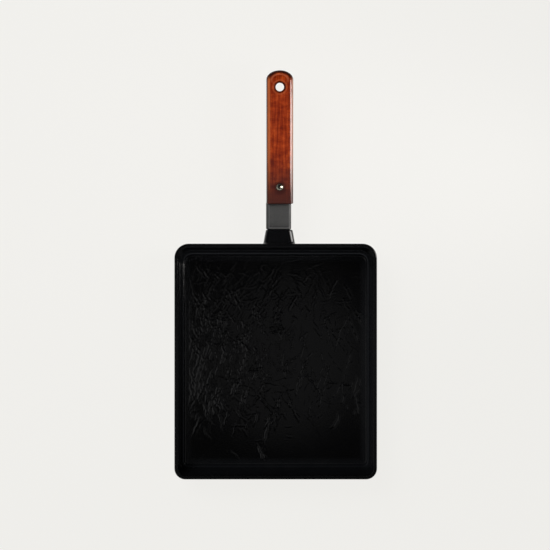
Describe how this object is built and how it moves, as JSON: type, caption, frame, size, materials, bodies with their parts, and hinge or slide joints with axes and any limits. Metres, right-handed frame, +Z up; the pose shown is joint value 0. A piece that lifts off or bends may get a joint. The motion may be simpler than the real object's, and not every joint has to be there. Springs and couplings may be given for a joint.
{
  "type": "tamagoyaki pan",
  "caption": "Rectangular cast-iron omelette pan with sloping walls, a short rear spigot, a pressed-steel bracket and a wooden grip with a hanging hole.",
  "frame": {"origin": "centre of the tray's flat underside", "axes": "+X to the right, +Y from the tray towards the grip, +Z up out of the tray"},
  "size_m": [0.1798, 0.3617, 0.0503],
  "materials": {
    "cast_iron": "black, seasoned, slightly glossy, with a creased floor",
    "grey_steel": "matte grey heat-resistant coating on pressed steel",
    "stained_wood": "red-brown stain under varnish, grain along the grip",
    "bright_steel": "bright, polished head"
  },
  "bodies": {
    "root": {"pan_body": "cast_iron", "handle_bracket": "grey_steel", "bracket_rivets": "grey_steel", "handle_grip": "stained_wood", "handle_bolt": "bright_steel", "nut_washer": "bright_steel", "handle_nut": "bright_steel"}
  },
  "joints": []
}
